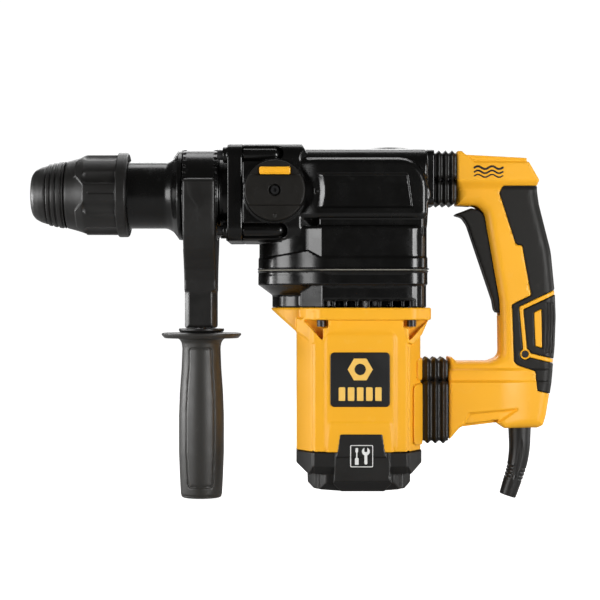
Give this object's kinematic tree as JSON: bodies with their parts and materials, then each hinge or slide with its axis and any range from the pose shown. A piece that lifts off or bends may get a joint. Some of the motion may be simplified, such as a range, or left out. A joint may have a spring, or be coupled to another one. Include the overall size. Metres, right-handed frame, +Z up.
{
  "type": "rotary hammer",
  "caption": "L-shaped mains rotary hammer with keyless slotted-shank chuck, swivelling side handle, mode knob, upright motor and spring-mounted rear handle with a paddle trigger.",
  "frame": {"origin": "centre of the mouth of the steel tool holder's bore, on the spindle axis", "axes": "-X along the spindle towards the tool, +X towards the rear handle, +Z up, the mode knob faces -Y"},
  "size_m": [0.4513, 0.1068, 0.3035],
  "materials": {
    "housing_black": "gloss black powder coated casting, smooth",
    "plastic_black": "satin black moulded nylon",
    "plastic_yellow": "satin warm yellow moulded nylon",
    "rubber_black": "matte black soft rubber",
    "steel_bright": "ground steel",
    "steel_black": "blackened steel",
    "copper": "varnished copper wire",
    "carbon": "pressed carbon",
    "brass": "turned brass",
    "gasket_paper": "sealing paper"
  },
  "bodies": {
    "chassis": {"front_barrel": "housing_black", "barrel_screws": "steel_black", "spindle_bearings": "steel_bright", "gear_housing": "housing_black", "housing_gasket": "gasket_paper", "gear_housing_base": "housing_black", "crank_cap": "plastic_black", "gearbox_bearings": "steel_bright", "motor_housing": "plastic_yellow", "housing_screws": "steel_black", "motor_cap": "plastic_black", "badge_plates": "plastic_black", "stator_core": "steel_black", "field_coils": "copper", "armature_bearings": "steel_bright", "brush_holders": "brass", "carbon_brushes": "carbon", "guide_rods": "steel_bright", "damping_springs": "steel_bright", "handle_bellows": "rubber_black"},
    "spindle": {"tool_holder": "steel_bright", "dust_cap": "rubber_black", "locking_rollers": "steel_bright", "sleeve_spring": "steel_bright", "hammer_cylinder": "steel_bright", "spindle_bevel_gear": "steel_bright"},
    "chuck_sleeve": {"locking_sleeve": "plastic_black"},
    "impact_bolt": {"impact_bolt": "steel_bright"},
    "striker": {"striker": "steel_bright", "striker_ring": "rubber_black"},
    "piston": {"piston": "steel_bright", "piston_ring": "rubber_black", "connecting_rod": "steel_bright", "wrist_and_crank_pins": "steel_bright"},
    "crank": {"crankshaft": "steel_bright", "crank_gear": "steel_bright"},
    "intermediate": {"intermediate_shaft": "steel_bright", "intermediate_gear": "steel_bright"},
    "armature": {"armature_shaft": "steel_bright", "armature_core": "steel_black", "armature_winding": "copper", "commutator": "copper", "cooling_fan": "plastic_black"},
    "knob": {"mode_knob": "plastic_black", "knob_screw": "steel_black"},
    "lock_button": {"knob_lock_button": "plastic_yellow"},
    "side_handle": {"side_handle_band": "steel_black", "side_handle_arm": "plastic_black", "side_handle_bolt": "steel_bright"},
    "side_grip": {"grip_washer": "plastic_black", "side_grip": "rubber_black", "side_grip_nut": "steel_bright"},
    "rear_handle": {"handle_shell_left": "plastic_yellow", "handle_shell_right": "plastic_yellow", "handle_overmould": "rubber_black", "handle_screws": "steel_black", "switch_module": "plastic_black", "trigger_spring": "steel_bright", "cable_boot": "rubber_black"},
    "trigger": {"trigger": "plastic_black"}
  },
  "joints": [
    {"name": "armature_spin", "type": "hinge", "parent": "chassis", "child": "armature", "pos_m": [0.2775, 0, -0.168], "axis": [0, 0, 1], "continuous": true},
    {"name": "crank_spin", "type": "hinge", "parent": "chassis", "child": "crank", "pos_m": [0.2995, 0, -0.05], "axis": [0, 0, 1], "continuous": true},
    {"name": "intermediate_spin", "type": "hinge", "parent": "chassis", "child": "intermediate", "pos_m": [0.2475, 0, -0.06], "axis": [0, 0, 1], "continuous": true},
    {"name": "spindle_spin", "type": "hinge", "parent": "chassis", "child": "spindle", "pos_m": [0.1, 0, 0], "axis": [1, 0, 0], "continuous": true},
    {"name": "chuck_sleeve_slide", "type": "slide", "parent": "spindle", "child": "chuck_sleeve", "axis": [1, 0, 0], "range_m": [0, 0.01], "stiffness_N_per_m": 1500, "springref_m": -0.008, "deforming": ["sleeve_spring"]},
    {"name": "impact_bolt_slide", "type": "slide", "parent": "chassis", "child": "impact_bolt", "axis": [-1, 0, 0], "range_m": [0, 0.006]},
    {"name": "striker_slide", "type": "slide", "parent": "chassis", "child": "striker", "axis": [-1, 0, 0], "range_m": [0, 0.009]},
    {"name": "piston_slide", "type": "slide", "parent": "chassis", "child": "piston", "axis": [1, 0, 0], "range_m": [0, 0.024]},
    {"name": "mode_knob_turn", "type": "hinge", "parent": "chassis", "child": "knob", "pos_m": [0.2064, -0.048, 0.001], "axis": [0, -1, 0], "range_deg": [0, 180]},
    {"name": "knob_lock_press", "type": "slide", "parent": "knob", "child": "lock_button", "axis": [0, 1, 0], "range_m": [0, 0.002], "stiffness_N_per_m": 900, "springref_m": -0.002},
    {"name": "side_handle_swivel", "type": "hinge", "parent": "chassis", "child": "side_handle", "pos_m": [0.1422, 0, 0], "axis": [1, 0, 0], "continuous": true},
    {"name": "side_grip_turn", "type": "hinge", "parent": "side_handle", "child": "side_grip", "pos_m": [0.1422, 0, -0.19], "axis": [0, 0, 1], "range_deg": [0, 720]},
    {"name": "rear_handle_slide", "type": "slide", "parent": "chassis", "child": "rear_handle", "axis": [-1, 0, 0], "range_m": [0, 0.006], "stiffness_N_per_m": 15000, "springref_m": -0.003, "deforming": ["handle_bellows", "damping_springs"]},
    {"name": "trigger_squeeze", "type": "hinge", "parent": "rear_handle", "child": "trigger", "pos_m": [0.402, 0, -0.097], "axis": [0, 1, 0], "range_deg": [0, 5.5], "stiffness_Nm_per_rad": 4, "springref_deg": -5.73, "deforming": ["trigger_spring"]}
  ],
  "couplings": [
    {"joint": "crank_spin", "follows": "armature_spin", "ratio": -0.22222},
    {"joint": "intermediate_spin", "follows": "armature_spin", "ratio": -0.15385},
    {"joint": "spindle_spin", "follows": "armature_spin", "ratio": 0.038462}
  ]
}
